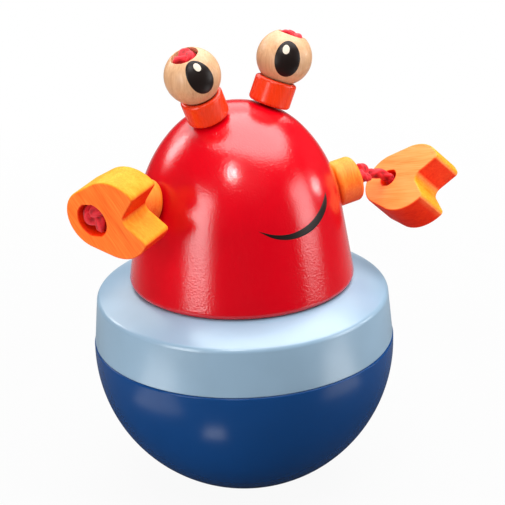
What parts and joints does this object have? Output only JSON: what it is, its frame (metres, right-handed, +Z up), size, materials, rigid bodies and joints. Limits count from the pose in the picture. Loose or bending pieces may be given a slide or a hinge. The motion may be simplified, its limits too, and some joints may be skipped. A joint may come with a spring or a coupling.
{
  "type": "roly-poly crab toy",
  "caption": "Wooden crab tumbler toy: a weighted half-ball base rights a dome with ball eyes on bead stalks and flat claws hung on a knotted cord.",
  "frame": {"origin": "the middle of the small flat under the half-ball, which touches the table when the toy stands upright", "axes": "+Z up along the turned axis, the face looks along -Y, +X is the side of the claw on the picture's right"},
  "size_m": [0.1114, 0.084, 0.1293],
  "materials": {
    "base_paint": "dark blue gloss lacquer on turned wood",
    "collar_paint": "pale blue gloss lacquer on turned wood",
    "dome_paint": "red gloss lacquer on turned wood",
    "stalk_paint": "orange-red gloss lacquer on turned wood",
    "claw_stain": "clear orange stain over visible grain",
    "bare_wood": "clear-lacquered natural wood",
    "cord": "braided crimson cord",
    "steel": "plain turned steel"
  },
  "bodies": {
    "toy": {"base_bowl": "base_paint", "ballast_weight": "steel", "collar_disc": "collar_paint", "centre_dowel": "bare_wood", "dome_body": "dome_paint", "eye_cord": "cord", "arm_cord": "cord"},
    "left_stalk": {"left_eye_stalk": "stalk_paint"},
    "right_stalk": {"right_eye_stalk": "stalk_paint"},
    "left_ball": {"left_eye": "bare_wood"},
    "right_ball": {"right_eye": "bare_wood"},
    "left_bead": {"left_arm_bead": "claw_stain"},
    "right_bead": {"right_arm_bead": "claw_stain"},
    "left_bend": {"left_cord_inner": "cord"},
    "left_end": {"left_cord_outer": "cord", "left_cord_knot": "cord"},
    "left_claw": {"left_claw": "claw_stain"},
    "right_bend": {"right_cord_inner": "cord"},
    "right_end": {"right_cord_outer": "cord", "right_cord_knot": "cord"},
    "right_claw": {"right_claw": "claw_stain"}
  },
  "joints": [
    {"name": "left_stalk_spin", "type": "hinge", "parent": "toy", "child": "left_stalk", "pos_m": [-0.00938, -0.00142, 0.10963], "axis": [-0.3746, -0.0566, 0.9255], "continuous": true},
    {"name": "left_eye_spin", "type": "hinge", "parent": "toy", "child": "left_ball", "pos_m": [-0.01433, -0.00216, 0.12185], "axis": [-0.3746, -0.0566, 0.9255], "continuous": true},
    {"name": "left_bead_spin", "type": "hinge", "parent": "toy", "child": "left_bead", "pos_m": [-0.02655, 0.00046, 0.0884], "axis": [-0.9595, 0.0167, 0.2813], "continuous": true},
    {"name": "left_claw_lift", "type": "hinge", "parent": "toy", "child": "left_bend", "pos_m": [-0.03623, 0.0005, 0.0911], "axis": [0.0175, 0.9998, 0], "range_deg": [0, 35], "deforming": ["left_cord_inner"]},
    {"name": "left_claw_sweep", "type": "hinge", "parent": "left_bend", "child": "left_end", "pos_m": [-0.03623, 0.0005, 0.0911], "axis": [0, 0, 1], "range_deg": [-35, 0], "deforming": ["left_cord_outer"]},
    {"name": "left_claw_spin", "type": "hinge", "parent": "left_end", "child": "left_claw", "pos_m": [-0.03781, 0.00014, 0.09115], "axis": [-0.9093, -0.3841, -0.1599], "continuous": true},
    {"name": "right_stalk_spin", "type": "hinge", "parent": "toy", "child": "right_stalk", "pos_m": [0.00938, -0.00142, 0.10963], "axis": [0.3746, -0.0566, 0.9255], "continuous": true},
    {"name": "right_eye_spin", "type": "hinge", "parent": "toy", "child": "right_ball", "pos_m": [0.01433, -0.00216, 0.12185], "axis": [0.3746, -0.0566, 0.9255], "continuous": true},
    {"name": "right_bead_spin", "type": "hinge", "parent": "toy", "child": "right_bead", "pos_m": [0.02739, -0.00434, 0.083], "axis": [0.9747, -0.1544, 0.1616], "continuous": true},
    {"name": "right_claw_lift", "type": "hinge", "parent": "toy", "child": "right_bend", "pos_m": [0.04105, -0.00644, 0.08432], "axis": [-0.1564, -0.9877, 0], "range_deg": [-5, 60], "deforming": ["right_cord_inner"]},
    {"name": "right_claw_sweep", "type": "hinge", "parent": "right_bend", "child": "right_end", "pos_m": [0.04105, -0.00644, 0.08432], "axis": [0, 0, -1], "range_deg": [-30, 30], "deforming": ["right_cord_outer"]},
    {"name": "right_claw_spin", "type": "hinge", "parent": "right_end", "child": "right_claw", "pos_m": [0.0454, -0.00694, 0.08218], "axis": [0.7216, -0.0606, -0.6896], "continuous": true}
  ]
}
